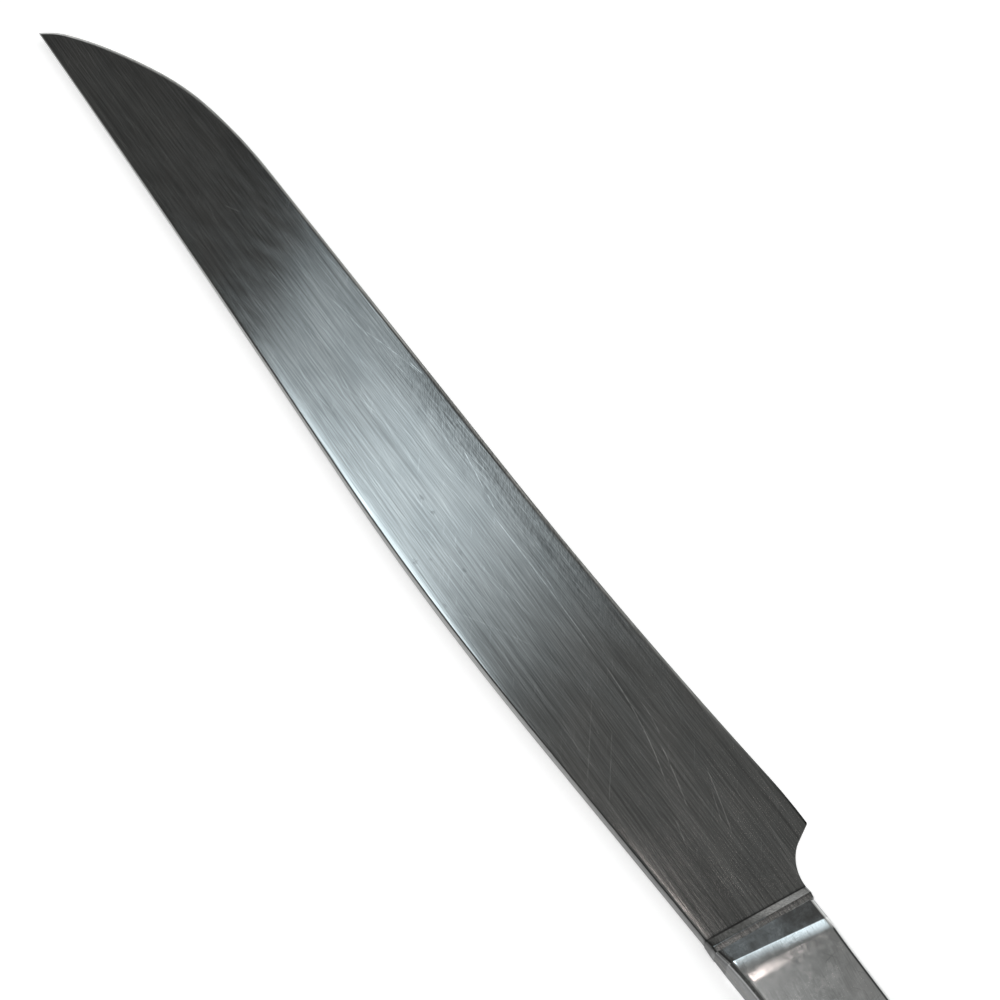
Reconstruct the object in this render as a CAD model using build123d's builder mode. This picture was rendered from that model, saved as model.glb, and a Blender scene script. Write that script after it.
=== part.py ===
from build123d import *

import os
from math import radians, tan

# A carving knife: a forged steel blade in a hollow handle of pressed steel, lying on one side.
#
# X runs along the handle towards the point, Y from the cutting edge towards the back, and Z up
# through the thickness. The origin is in the middle of the flat face that the handle lies on.
# The blade, its collar and its tang are one forging. The handle is two pressed half shells, brazed
# together round their rims. The tang goes in at the mouth, where solder seals it, and is set in
# compound. Sizes are in millimetres and angles in degrees.

os.makedirs("parts", exist_ok=True)

# Handle: a flat bar whose long sides are shallow hollow arcs
handle_length = 118.0
handle_thickness = 5.0
handle_edge_radius = 0.9
neck_width = 15.5  # before the flare at the mouth
mouth_flare = 0.4  # the mouth stands out this far past the neck on each side
mouth_flare_length = 10.0
butt_width = 20.5
butt_crown = 1.4  # the middle of the butt stands out this far past its corners
butt_corner_radius = 4.5
back_draw_angle = 3.0  # the back leaves the mouth this far off parallel, drawing in
shell_wall = 0.6
seam_thickness = 0.16  # braze between the rims of the shells

# Nose of the handle: from the mouth a slope up to a crisp crease, then a rolled shoulder
nose_length = 2.95
nose_slope = 13.5
nose_overrun = 1.2  # the slope is drawn on past the mouth
crease_skew = 4.5  # the crease runs this far off square, further back at the edge side
shoulder_length = 4.2
shoulder_drop = 0.25

# Collar: the step forged between the blade and the handle
collar_length = 2.25
collar_slope_length = 1.3  # rises from the blade's faces over this length
collar_step = 0.05  # lies this far below the mouth of the shells
foot_step = 0.06  # stands this far out of the blade all round at the foot
collar_corner_radius = 0.4

# Blade outline: distances from the foot, and heights and depths from the back of the handle's neck
blade_length = 223.0
back_proud = 0.42  # at the foot the blade stands out this far past the neck
back_rise_angle = 4.3
back_straight = 40.0
crest_x = 97.0
crest_height = 5.17
point_height = 4.3
foot_depth = 16.25
notch_x = 6.1  # the notch behind the heel turns from an arc to a straight here
notch_depth = 19.38
heel_x = 7.95
heel_depth = 22.25
heel_round = 0.45
heel_bend_x = 17.0  # the edge is slightly rounded from the heel to here
heel_bend_depth = 21.93
hollow_x = 84.6  # slightly hollow from there to here
hollow_depth = 18.38
belly_x = 166.0  # and straight from there to here, where the belly starts
belly_depth = 16.72

# Knots of the belly, as shares of its run and of its rise from its start to the point
belly_run_shares = (0.382, 0.607, 0.805, 0.939)
belly_rise_shares = (0.098, 0.273, 0.534, 0.776)

# Blade section: a flat grind from the back to the edge, thinning towards the point
back_thickness = 2.0
point_thickness = 0.6
edge_thickness = 0.3  # left by the flat grind, before the cutting bevel
bevel_width = 0.3
bevel_reach = 1.0  # how far in from the edge the bevelling stone is drawn
keen_thickness = 0.08  # left on the cutting edge itself
back_round = 0.25

# Tang
tang_thickness = 1.5
tang_root_width = 12.4
tang_root_length = 6.0
tang_width = 8.4
tang_length = 64.0
tang_fillet = 0.9
key_radius = 1.2  # notches that key the tang into the compound
key_spacing = 16.0
key_rows = 3

# Solder and compound
solder_length = 4.0
fit_gap = 0.05
overrun = 5.0  # limiting and cutting bodies run past what they cut by this much

mid_z = handle_thickness / 2
mouth_x = handle_length / 2
foot_x = mouth_x + collar_length
back_y = neck_width / 2
mouth_half = mid_z - shoulder_drop - nose_length * tan(radians(nose_slope))
collar_half = mouth_half - collar_step
along = Axis.X.direction
knife_plane = Plane(origin=(0, 0, mid_z))
handle_plane = Plane(origin=(mouth_x, 0, mid_z))
blade_plane = Plane(origin=(foot_x, back_y, mid_z))
nose_plane = Plane(
    origin=(mouth_x, 0, mid_z),
    x_dir=along.rotate(Axis.Z, -crease_skew),
    z_dir=-Axis.Y.direction.rotate(Axis.Z, -crease_skew),
)


def handle_plan(inset):
    """Plan of the handle from its mouth, drawn in by inset on every side but the mouth."""
    neck_half = neck_width / 2 - inset
    butt_half = butt_width / 2 - inset
    butt_x = -handle_length + inset
    corner_x = butt_x + butt_crown
    with BuildSketch() as plan:
        with BuildLine():
            ends = []
            for sign, draw_angle in ((1, back_draw_angle), (-1, 0)):
                onward = -along.rotate(Axis.Z, draw_angle)
                corner = (corner_x, sign * butt_half)
                run = TangentArc((0, sign * neck_half), corner, tangent=onward, mode=Mode.PRIVATE)
                flare_share = mouth_flare_length / run.length
                add(run.trim(flare_share, 1))
                lip = (0, sign * (neck_half + mouth_flare))
                TangentArc(run @ flare_share, lip, tangent=-(run % flare_share))
                ends.append((lip, corner))
            (back_lip, back_corner), (edge_lip, edge_corner) = ends
            ThreePointArc(back_corner, (butt_x, 0), edge_corner)
            Line(edge_lip, back_lip)
        make_face()
        fillet(plan.vertices().group_by(Axis.X)[0], radius=butt_corner_radius - inset)
    return plan.sketch


def handle_form(inset):
    """Solid shape of the handle, with its nose, drawn in by inset on every side but the mouth."""
    half = mid_z - inset
    with BuildPart() as form:
        with BuildSketch(handle_plane):
            add(handle_plan(inset))
        extrude(amount=half, both=True)
        with BuildSketch(nose_plane):
            with BuildLine():
                flat = Line((-handle_length - overrun, half), (-nose_length - shoulder_length, half))
                shoulder = TangentArc(flat @ 1, (-nose_length, half - shoulder_drop), tangent=along)
                nose = PolarLine(shoulder @ 1, nose_length + nose_overrun, -nose_slope)
                mirror(about=Plane.XZ)
                for x, y, z in (flat @ 0, nose @ 1):
                    Line((x, y), (x, -y))
            make_face()
        extrude(amount=butt_width, both=True, mode=Mode.INTERSECT)
    return form.part


def tang_form(growth):
    """The tang behind the mouth, swollen by growth on every side but the mouth."""
    root_half = tang_root_width / 2 + growth
    half = tang_width / 2 + growth
    root_x = -tang_root_length - growth
    end_x = -tang_length - growth
    with BuildPart() as form:
        with BuildSketch(handle_plane) as plan:
            with BuildLine():
                side = Polyline((0, root_half), (root_x, root_half), (root_x, half), (end_x, half))
                mirror(about=Plane.XZ)
                for x, y, z in (side @ 0, side @ 1):
                    Line((x, y), (x, -y))
            make_face()
            steps = plan.vertices().filter_by(lambda corner: corner.X < 0)
            fillet(steps, radius=tang_fillet)
            key_x = -tang_root_length - key_spacing * (key_rows + 1) / 2
            with Locations((key_x, 0)):
                with GridLocations(key_spacing, tang_width, key_rows, 2):
                    Circle(key_radius - growth, mode=Mode.SUBTRACT)
        extrude(amount=tang_thickness / 2 + growth, both=True)
    return form.part


def grind_half(station, height):
    """Half the thickness that the flat grind leaves, at a distance from the foot and a height."""
    back_half = (back_thickness + (point_thickness - back_thickness) * station / blade_length) / 2
    edge_half = edge_thickness / 2
    return edge_half + (back_half - edge_half) * (height + heel_depth) / heel_depth


def section_plane(station):
    """Plane square across the blade, at a distance from its foot, with heights along its x."""
    return Plane(
        origin=(foot_x + station, back_y, mid_z), x_dir=Axis.Y.direction, z_dir=Axis.X.direction
    )


def four_sided(top, top_half, bottom, bottom_half, radius):
    """Section between two heights, a half thickness at each, with rounded corners."""
    with BuildSketch() as section:
        with BuildLine():
            upper = Line((top, top_half), (bottom, bottom_half))
            lower = Line((top, -top_half), (bottom, -bottom_half))
            Line(upper @ 0, lower @ 0)
            Line(upper @ 1, lower @ 1)
        make_face()
        fillet(section.vertices(), radius=radius)
    return section.sketch


# Back of the blade, from the foot to the point
with BuildLine() as back_run:
    rise = PolarLine((0, back_proud), back_straight, back_rise_angle)
    crest = TangentArc(rise @ 1, (crest_x, crest_height), tangent=rise % 1)
    dip = TangentArc(crest @ 1, (blade_length, point_height), tangent=crest % 1)
point = dip @ 1
heel = Vector(heel_x, -heel_depth)

# Cutting edge, from the heel to the point
with BuildLine() as edge_run:
    straight = Line((hollow_x, -hollow_depth), (belly_x, -belly_depth))
    hollow = TangentArc(straight @ 0, (heel_bend_x, -heel_bend_depth), tangent=-(straight % 0))
    heel_bend = TangentArc(hollow @ 1, heel, tangent=hollow % 1)
    bend = straight
    belly_run = point.X - belly_x
    belly_rise = point.Y + belly_depth
    for run_share, rise_share in zip(belly_run_shares, belly_rise_shares):
        knot = straight @ 1 + Vector(belly_run * run_share, belly_rise * rise_share)
        bend = TangentArc(bend @ 1, knot, tangent=bend % 1)
    bend = TangentArc(bend @ 1, point, tangent=bend % 1)

# Path of the bevelling stone, which runs on and off past the heel and the point
with BuildLine() as bevel_run:
    run_on = Line(heel + (heel_bend % 1) * overrun, heel)
    add(edge_run.line)
    Line(point, point + (bend % 1) * overrun)
bevel_path = bevel_run.wire().moved(blade_plane.location)
stone_start = (run_on @ 0) + blade_plane.origin
stone_plane = Plane(origin=stone_start, x_dir=Axis.Z.direction, z_dir=run_on % 0)
bevel_tilt = (edge_thickness - keen_thickness) / 2 / bevel_width
stone_top = keen_thickness / 2 + bevel_tilt * bevel_reach

with BuildPart() as blade:
    with BuildSketch(blade_plane) as outline:
        with BuildLine():
            add(back_run.line)
            add(edge_run.line)
            notch = TangentArc((0, -foot_depth), (notch_x, -notch_depth), tangent=along)
            Line(notch @ 1, heel)
            Line(notch @ 0, rise @ 0)
        make_face()
        fillet(outline.vertices().sort_by_distance(heel)[0], radius=heel_round)
    extrude(amount=back_thickness, both=True)
    for station in (-overrun, blade_length + overrun):
        with BuildSketch(section_plane(station)):
            top = crest_height + overrun
            bottom = -heel_depth - bevel_width
            with BuildLine():
                face = Line((top, grind_half(station, top)), (bottom, grind_half(station, bottom)))
                mirror(about=Plane.XZ)
                for x, y, z in (face @ 0, face @ 1):
                    Line((x, y), (x, -y))
            make_face()
    loft(ruled=True, mode=Mode.INTERSECT)
    backs = faces().filter_by(lambda face: round(face.normal_at().Y) == 1)
    fillet(backs.edges().filter_by(Axis.Z, reverse=True), radius=back_round)
    with BuildSketch(stone_plane):
        with BuildLine():
            Polyline(
                (keen_thickness / 2, overrun),
                (keen_thickness / 2, 0),
                (stone_top, -bevel_reach),
                (stone_top, overrun),
                close=True,
            )
        make_face()
        mirror(about=Plane.YZ)
    sweep(path=bevel_path, mode=Mode.SUBTRACT)
    with BuildSketch(section_plane(0)):
        foot_back_half = grind_half(0, back_proud) + foot_step
        foot_edge_half = grind_half(0, -foot_depth) + foot_step
        foot_top = back_proud + foot_step
        foot_bottom = -foot_depth - foot_step
        add(four_sided(foot_top, foot_back_half, foot_bottom, foot_edge_half, back_round))
    for station in (collar_slope_length, collar_length):
        share = station / collar_length
        with BuildSketch(section_plane(-station)):
            top = back_proud + (mouth_flare - back_proud) * share
            bottom = -foot_depth + (foot_depth - neck_width - mouth_flare) * share
            add(four_sided(top, collar_half, bottom, collar_half, collar_corner_radius))
    loft(ruled=True)
    add(tang_form(0))
blade.part.label = "blade"
export_step(blade.part, "parts/blade.step")

with BuildPart() as handle_shell_upper:
    add(handle_form(0))
    split(bisect_by=knife_plane.offset(seam_thickness / 2), keep=Keep.TOP)
    walls = faces().filter_by(lambda face: round(face.normal_at().Z) == 0).sort_by(Axis.X)[:-1]
    rim = walls.edges().filter_by(Axis.Z, reverse=True)
    fillet(rim.filter_by(lambda edge: edge.center().Z > mid_z + seam_thickness), handle_edge_radius)
    add(handle_form(shell_wall), mode=Mode.SUBTRACT)
handle_shell_upper.part.label = "handle_shell_upper"
export_step(handle_shell_upper.part, "parts/handle_shell_upper.step")

with BuildPart() as handle_shell_lower:
    add(mirror(handle_shell_upper.part, about=knife_plane, mode=Mode.PRIVATE))
handle_shell_lower.part.label = "handle_shell_lower"
export_step(handle_shell_lower.part, "parts/handle_shell_lower.step")

with BuildPart() as seam_braze:
    with BuildSketch(handle_plane):
        add(handle_plan(0))
        add(handle_plan(shell_wall), mode=Mode.SUBTRACT)
    extrude(amount=seam_thickness / 2, both=True)
seam_braze.part.label = "seam_braze"
export_step(seam_braze.part, "parts/seam_braze.step")

with BuildPart() as mouth_solder:
    add(handle_form(shell_wall + fit_gap))
    split(bisect_by=Plane.YZ.offset(mouth_x - solder_length), keep=Keep.TOP)
    add(tang_form(0), mode=Mode.SUBTRACT)
mouth_solder.part.label = "mouth_solder"
export_step(mouth_solder.part, "parts/mouth_solder.step")

with BuildPart() as handle_filler:
    add(handle_form(shell_wall + fit_gap))
    split(bisect_by=Plane.YZ.offset(mouth_x - solder_length - fit_gap), keep=Keep.BOTTOM)
    add(tang_form(fit_gap), mode=Mode.SUBTRACT)
handle_filler.part.label = "handle_filler"
export_step(handle_filler.part, "parts/handle_filler.step")
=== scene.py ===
import math

import bmesh
import bpy
import numpy as np
from mathutils import Matrix, Vector


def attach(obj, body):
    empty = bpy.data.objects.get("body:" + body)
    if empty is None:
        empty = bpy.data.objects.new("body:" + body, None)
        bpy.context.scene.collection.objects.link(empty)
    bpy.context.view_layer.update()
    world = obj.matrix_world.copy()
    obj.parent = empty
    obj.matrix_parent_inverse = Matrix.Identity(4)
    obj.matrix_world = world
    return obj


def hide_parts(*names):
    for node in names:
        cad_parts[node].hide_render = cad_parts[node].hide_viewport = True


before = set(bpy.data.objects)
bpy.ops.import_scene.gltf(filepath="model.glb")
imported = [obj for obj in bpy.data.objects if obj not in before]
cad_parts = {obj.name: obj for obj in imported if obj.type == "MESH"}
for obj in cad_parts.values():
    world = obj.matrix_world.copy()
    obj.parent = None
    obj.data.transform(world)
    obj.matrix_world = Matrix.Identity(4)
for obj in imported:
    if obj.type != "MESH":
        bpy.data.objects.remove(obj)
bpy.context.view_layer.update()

# Blade
# A stainless steel forging with its collar and tang in one piece, ground flat from the back to the
# edge and brushed along its length. Steeling and years of use have scratched it, dulled a strip along
# the edge and rounded over the back. Its colour also carries painted glints on scratches and painted
# shade along the edge, on the cut edges, by the foot and at the collar. Lengths are in millimetres,
# from the foot of the blade.
MM = 0.001
handle_length, handle_thickness, neck_width, mouth_flare = 118.0, 5.0, 15.5, 0.4
mid_z, back_y, centre_y = handle_thickness / 2, neck_width / 2, -neck_width / 2
collar_length, collar_slope_length, collar_half, collar_corner = 2.25, 1.3, 1.492, 0.4
collar_middle, collar_brink, collar_ease = 1.8, 0.12, 0.05
foot_x, foot_step = handle_length / 2 + collar_length, 0.06
blade_length, back_proud, foot_depth = 223.0, 0.42, 16.25
notch_end, heel, heel_round = (6.1, -19.38), (7.95, -22.25), 0.45
heel_bend, hollow_end, belly_start = (17.0, -21.93), (84.6, -18.38), (166.0, -16.72)
belly_knot_shares = ((0.382, 0.098), (0.607, 0.273), (0.805, 0.534), (0.939, 0.776), (1, 1))
back_straight, back_rise, crest, point_height = 40.0, math.radians(4.3), (97.0, 5.17), 4.3
back_thickness, point_thickness, edge_thickness = 2.0, 0.6, 0.3
bevel_width, keen_half, back_round, notch_round = 0.3, 0.04, 0.3, 0.1
bevel_softness, least_round, stone_run_on = 0.012, 0.01, 9.0
most_bevel_share, most_round_share = 0.45, 0.25
worn_edge, worn_edge_drop, worn_back, worn_back_drop = 2.0, 0.012, 1.3, 0.045
tang_half_thickness, tang_root_half, tang_half = 0.75, 6.2, 4.2
tang_root_length, tang_length, tang_fillet, tang_corner = 6.0, 64.0, 0.9, 0.06
key_radius, key_places = 1.2, (-22.0, -38.0, -54.0)
heel_span, point_span, point_left = (7.2, 8.6), (196, 218), 0.15


def tangent_arc(start, heading, end, count):
    """Points on the circular arc that leaves start along heading and ends at end, and its last heading."""
    start, end = np.array(start, float), np.array(end, float)
    chord = end - start
    lean = math.remainder(math.atan2(chord[1], chord[0]) - heading, 2 * math.pi)
    steps = np.linspace(0, 1, count)
    if abs(lean) < 1e-6:
        return start + steps[:, None] * chord, heading
    radius = np.linalg.norm(chord) / 2 / math.sin(lean)
    turn = heading + 2 * lean * steps
    x = start[0] + radius * (np.sin(turn) - math.sin(heading))
    y = start[1] - radius * (np.cos(turn) - math.cos(heading))
    return np.stack([x, y], 1), heading + 2 * lean


def smooth_step(low, high, value):
    share = np.clip((value - low) / (high - low), 0, 1)
    return share * share * (3 - 2 * share)


# The back runs straight, then over the crest, then in a long shallow dip to the point
knee = (back_straight * math.cos(back_rise), back_proud + back_straight * math.sin(back_rise))
crest_arc, dip_heading = tangent_arc(knee, back_rise, crest, count=40)
point = (blade_length, point_height)
dip_arc, _ = tangent_arc(crest, dip_heading, point, count=80)
back_line = np.concatenate([[(0, back_proud)], crest_arc, dip_arc[1:]])

# The edge side runs round the notch and the heel, then along the cutting edge to the point
edge_heading = math.atan2(belly_start[1] - hollow_end[1], belly_start[0] - hollow_end[0])
hollow, heading = tangent_arc(hollow_end, edge_heading + math.pi, heel_bend, count=60)
bend, heel_heading = tangent_arc(heel_bend, heading, heel, count=30)
hollow, heel_heading = np.concatenate([hollow, bend[1:]])[::-1], heel_heading - math.pi
notch, _ = tangent_arc((0, -foot_depth), 0, notch_end, count=40)
notch_heading = math.atan2(heel[1] - notch_end[1], heel[0] - notch_end[0])
cut_back = heel_round * math.tan((heel_heading - notch_heading) / 2)
heel_in = (heel[0] - cut_back * math.cos(notch_heading), heel[1] - cut_back * math.sin(notch_heading))
heel_out = (heel[0] + cut_back * math.cos(heel_heading), heel[1] + cut_back * math.sin(heel_heading))
heel_arc, _ = tangent_arc(heel_in, notch_heading, heel_out, count=16)
belly, heading, knot = [], edge_heading, belly_start
for run_share, rise_share in belly_knot_shares:
    rise = (point[1] - belly_start[1]) * rise_share
    goal = (belly_start[0] + (blade_length - belly_start[0]) * run_share, belly_start[1] + rise)
    arc, heading = tangent_arc(knot, heading, goal, count=40)
    belly.append(arc[1:])
    knot = goal
keen_line = np.concatenate([hollow[hollow[:, 0] > heel_out[0]], [belly_start]] + belly)
edge_line = np.concatenate([notch, heel_arc, keen_line])
run_on = (heel[0] - stone_run_on, heel[1] - stone_run_on * math.tan(heel_heading))
stone_line = np.concatenate([[run_on, heel], keen_line])
stone_slope = np.gradient(stone_line[:, 1], stone_line[:, 0])

# Rows across a section: the bevel, or the corner of the collar, then the face, then the back's corner
quarter = np.radians(np.linspace(0, 90, 8))
low_shares, high_shares = 1 - np.cos(quarter), np.sin(quarter)
face_shares = np.concatenate([[0.003, 0.01, 0.025], np.linspace(0.05, 0.975, 38), [0.992]])


def section_ring(low, high, low_band, high_band, half_at):
    """Closed section from the edge over the upper face, down the back and home under the lower face."""
    face_low, face_high = low + low_band, high - high_band
    rows = np.concatenate(
        [
            low + low_band * low_shares,
            face_low + (face_high - face_low) * face_shares,
            face_high + high_band * high_shares,
        ]
    )
    half = half_at(rows)
    back = np.linspace(half[-1], -half[-1], 4)[1:-1]
    edge = np.linspace(-half[0], half[0], 4)[1:-1]
    y = np.concatenate([rows, np.full(2, high), rows[::-1], np.full(2, low)])
    z = np.concatenate([half, back, -half[::-1], edge])
    return y, z


def corner_loss(radius, into):
    """What a rounded corner takes off, at distances from where it begins."""
    into = np.clip(into, 0, radius)
    return radius - np.sqrt(radius**2 - into**2)


def grind_half(x, y):
    """Half thickness left by the flat grind at a distance from the foot and a height."""
    back_half = (back_thickness + (point_thickness - back_thickness) * x / blade_length) / 2
    return edge_thickness / 2 + (back_half - edge_thickness / 2) * (y - heel[1]) / -heel[1]


def blade_ring(x):
    """Section of the ground blade at a distance from its foot."""
    low, high = np.interp(x, *edge_line.T), np.interp(x, *back_line.T)
    keen, slope = np.interp(x, *stone_line.T), np.interp(x, stone_line[:, 0], stone_slope)
    across = math.cos(math.atan(slope))
    room = high - low
    bevel_band = min(max(keen + bevel_width / across - low, bevel_width), most_bevel_share * room)
    corner = min(back_round, most_round_share * room)
    tilt = (edge_thickness / 2 - keen_half) / bevel_width

    def half_at(y):
        ground = grind_half(x, y) - worn_edge_drop * np.clip(1 - (y - keen) * across / worn_edge, 0, 1) ** 2
        ground = ground - worn_back_drop * np.clip(1 - (high - y) / worn_back, 0, 1) ** 3
        bevelled = keen_half + tilt * np.clip((y - keen) * across, 0, None)
        soft = np.clip(bevel_softness - np.abs(ground - bevelled), 0, None)
        half = np.minimum(ground, bevelled) - soft**2 / (4 * bevel_softness)
        half -= corner_loss(corner, y - (high - corner))
        rounding = notch_round * np.clip((half[0] - keen_half) / (edge_thickness / 2), 0, 1)
        if rounding > least_round:
            half -= corner_loss(rounding, low + rounding - y)
        return np.maximum(half, keen_half * min(1, room))

    return section_ring(low, high, bevel_band, corner, half_at)


def block_ring(low, high, low_half, high_half, corner):
    """Section with straight faces and rounded corners."""

    def half_at(y):
        half = low_half + (high_half - low_half) * (y - low) / (high - low)
        return half - corner_loss(corner, low + corner - y) - corner_loss(corner, y - high + corner)

    return section_ring(low, high, corner, corner, half_at)


def tang_width_at(x):
    """Half width of the tang at a distance from the mouth, with its rounded steps and key notches."""
    past_step = x + tang_root_length
    if past_step >= 0:
        width = tang_root_half - corner_loss(tang_fillet, tang_fillet - past_step)
    else:
        width = tang_half + corner_loss(tang_fillet, tang_fillet + past_step)
    for place in key_places:
        if abs(x - place) < key_radius:
            width = tang_half - math.sqrt(key_radius**2 - (x - place) ** 2)
    return width - corner_loss(tang_fillet, tang_fillet - (x + tang_length))


def collar_reach(share):
    """Lowest and highest place of the collar, from its foot at 0 to the mouth of the handle at 1."""
    low = -foot_depth + (foot_depth - neck_width - mouth_flare) * share
    return low, back_proud + (mouth_flare - back_proud) * share


rings = []
half_turn, hair = np.radians(np.linspace(180, 0, 25)), 1e-4
tang_run = np.concatenate(
    [
        -tang_length + tang_fillet * (1 - np.cos(quarter)),
        *[place + key_radius * np.cos(half_turn) for place in key_places[::-1]],
        -tang_root_length - tang_fillet * np.cos(quarter),
        -tang_root_length + tang_fillet * (1 - np.cos(quarter)) + hair,
        -tang_root_length * np.array([1 / 2, 1 / 6, 0]),
    ]
)
for x in np.unique(np.round(tang_run, 5)):
    low, high = centre_y - tang_width_at(x), centre_y + tang_width_at(x)
    ring = block_ring(low, high, tang_half_thickness, tang_half_thickness, tang_corner)
    rings.append((x - collar_length, *ring))
collar_run = (collar_length, collar_length - collar_ease, collar_middle, collar_slope_length + collar_brink)
for x in (*collar_run, collar_slope_length):
    low, high = collar_reach(x / collar_length)
    inset = collar_ease if x == collar_length else 0
    half = collar_half - inset
    rings.append((-x, *block_ring(low + inset, high - inset, half, half, collar_corner)))
foot_low, foot_high = -foot_depth - foot_step, back_proud + foot_step
foot_low_half = grind_half(0, -foot_depth) + foot_step
foot_high_half = grind_half(0, back_proud) + foot_step
slope_low, slope_high = collar_reach(collar_slope_length / collar_length)
for share in np.linspace(0, 1, 9)[1:]:
    low, high = slope_low + (foot_low - slope_low) * share, slope_high + (foot_high - slope_high) * share
    low_half = collar_half + (foot_low_half - collar_half) * share
    high_half = collar_half + (foot_high_half - collar_half) * share
    corner = collar_corner + (back_round - collar_corner) * share
    rings.append((-collar_slope_length * (1 - share), *block_ring(low, high, low_half, high_half, corner)))
blade_run = np.concatenate(
    [
        np.linspace(0, heel_span[0], 50),
        np.linspace(*heel_span, 30),
        np.linspace(heel_span[1], point_span[0], 400),
        np.linspace(*point_span, 70),
        np.linspace(point_span[1], blade_length - point_left, 40),
    ]
)
for x in np.unique(np.round(blade_run, 5)):
    rings.append((x, *blade_ring(x)))

ring_size = len(rings[0][1])
forging_points = np.concatenate([np.stack([np.full(ring_size, x), y, z], 1) for x, y, z in rings])
forging_points = np.concatenate([forging_points, [(*point, 0)]])
forging_points += (foot_x, back_y, mid_z)
forging_faces = [tuple(range(ring_size))]
for ring in range(len(rings) - 1):
    for step in range(ring_size):
        here, on = ring * ring_size + step, ring * ring_size + (step + 1) % ring_size
        forging_faces.append((here, on, on + ring_size, here + ring_size))
last = (len(rings) - 1) * ring_size
for step in range(ring_size):
    forging_faces.append((last + step, last + (step + 1) % ring_size, len(forging_points) - 1))


def make_piece(name, points, faces, sharp_angle=30):
    """A closed mesh object, with its faces outwards and smooth but for its sharp edges."""
    mesh = bpy.data.meshes.new(name)
    mesh.from_pydata((np.asarray(points) * MM).tolist(), [], faces)
    build = bmesh.new()
    build.from_mesh(mesh)
    bmesh.ops.recalc_face_normals(build, faces=build.faces)
    build.to_mesh(mesh)
    build.free()
    mesh.shade_smooth()
    mesh.set_sharp_from_angle(angle=math.radians(sharp_angle))
    piece = bpy.data.objects.new(name, mesh)
    bpy.context.scene.collection.objects.link(piece)
    return piece


def lay_grain(piece, across, along):
    """UV map whose U runs across the brushing and V along it, from a value of each at every vertex."""
    mesh = piece.data
    corner_vertex = np.zeros(len(mesh.loops), np.int32)
    mesh.loops.foreach_get("vertex_index", corner_vertex)
    grain = mesh.uv_layers.new(name="grain")
    uv = np.stack([np.asarray(across)[corner_vertex], np.asarray(along)[corner_vertex]], 1)
    grain.data.foreach_set("uv", uv.astype(np.float32).ravel())


def lay_values(piece, name, values):
    layer = piece.data.attributes.new(name, "FLOAT", "POINT")
    layer.data.foreach_set("value", np.asarray(values, np.float32))


forged_blade = make_piece("forged_blade", forging_points, forging_faces)
along, high = forging_points[:, 0] - foot_x, forging_points[:, 1] - back_y
grain_length, grain_width, out_of_reach = 300, 60, 99
lay_grain(forged_blade, forging_points[:, 1] / grain_width + 0.5, forging_points[:, 0] / grain_length)
lean = np.interp(along, stone_line[:, 0], np.cos(np.arctan(stone_slope)))
from_edge = (high - np.interp(along, *stone_line.T)) * lean + out_of_reach * (along < run_on[0])
lay_values(forged_blade, "from_edge", from_edge)
high_cut = smooth_step(25, 70, np.degrees(quarter))
face_rows = len(low_shares) + len(face_shares)
cut = np.concatenate([np.zeros(face_rows), high_cut, [1, 1], high_cut[::-1], np.zeros(face_rows), [1, 1]])
lay_values(forged_blade, "cut", np.append(np.tile(cut, len(rings)), 0))


def add_node(tree, kind, feeds=None, **settings):
    """A node in a tree, with its settings, and its inputs fed by values or by other nodes' outputs."""
    made = tree.nodes.new(kind)
    for name, value in settings.items():
        setattr(made, name, value)
    for socket, feed in (feeds or {}).items():
        if isinstance(feed, bpy.types.NodeSocket):
            tree.links.new(feed, made.inputs[socket])
        else:
            made.inputs[socket].default_value = feed
    return made


def maths(tree, operation, *terms, clamp=False):
    """A sum of one kind on values or on other nodes' outputs."""
    made = add_node(tree, "ShaderNodeMath", dict(enumerate(terms)), operation=operation, use_clamp=clamp)
    return made.outputs[0]


def ramp_between(tree, value, low, high, to_low=0.0, to_high=1.0):
    """A value carried smoothly from one span to another."""
    spans = {0: value, 1: low, 2: high, 3: to_low, 4: to_high}
    return add_node(tree, "ShaderNodeMapRange", spans, interpolation_type="SMOOTHSTEP").outputs[0]


def measured_along(tree, place, axis):
    """How far a place lies along an axis."""
    feeds = {0: place, 1: tuple(axis)}
    return add_node(tree, "ShaderNodeVectorMath", feeds, operation="DOT_PRODUCT").outputs["Value"]


def in_millimetres(tree):
    """Place in millimetres: along from the foot of the blade, up from its back, and out from its middle."""
    place = add_node(tree, "ShaderNodeTexCoord").outputs["Object"]
    to_foot = {"Vector": place, "Location": (-foot_x, -back_y, -mid_z), "Scale": (1 / MM,) * 3}
    return add_node(tree, "ShaderNodeMapping", to_foot).outputs[0]


def clouds(tree, place, size, detail=2.0, stretch=1.0, turn=0.0):
    """Soft noise of a size in millimetres, drawn out lengthwise after a turn in the blade's plane."""
    if turn:
        turning = {"Vector": place, "Angle": math.radians(turn)}
        place = add_node(tree, "ShaderNodeVectorRotate", turning, rotation_type="Z_AXIS").outputs[0]
    scale = (1 / size / stretch, 1 / size, 1 / size)
    drawn = {"Vector": place, "Scale": scale, "Location": (turn + size,) * 3}
    place = add_node(tree, "ShaderNodeMapping", drawn).outputs[0]
    noise = {"Vector": place, "Scale": 1.0, "Detail": detail, "Roughness": 0.6}
    return add_node(tree, "ShaderNodeTexNoise", noise).outputs[0]


# Most of the noise lies between these values
cloud_span = (0.3, 0.7)


def clouded(tree, layer, least, most):
    """A value that clouds carry between a least and a most."""
    return ramp_between(tree, layer, *cloud_span, least, most)


def new_metal(name, base, roughness, anisotropy=0.0):
    """A metal with its node tree and its surface node."""
    material = bpy.data.materials.new(name)
    material.use_nodes = True
    tree = material.node_tree
    shader = tree.nodes["Principled BSDF"]
    shader.inputs["Metallic"].default_value = 1.0
    shader.inputs["Roughness"].default_value = roughness
    shader.inputs["Base Color"].default_value = (*base, 1)
    shader.inputs["Anisotropic"].default_value = anisotropy
    return material, tree, shader


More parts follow.
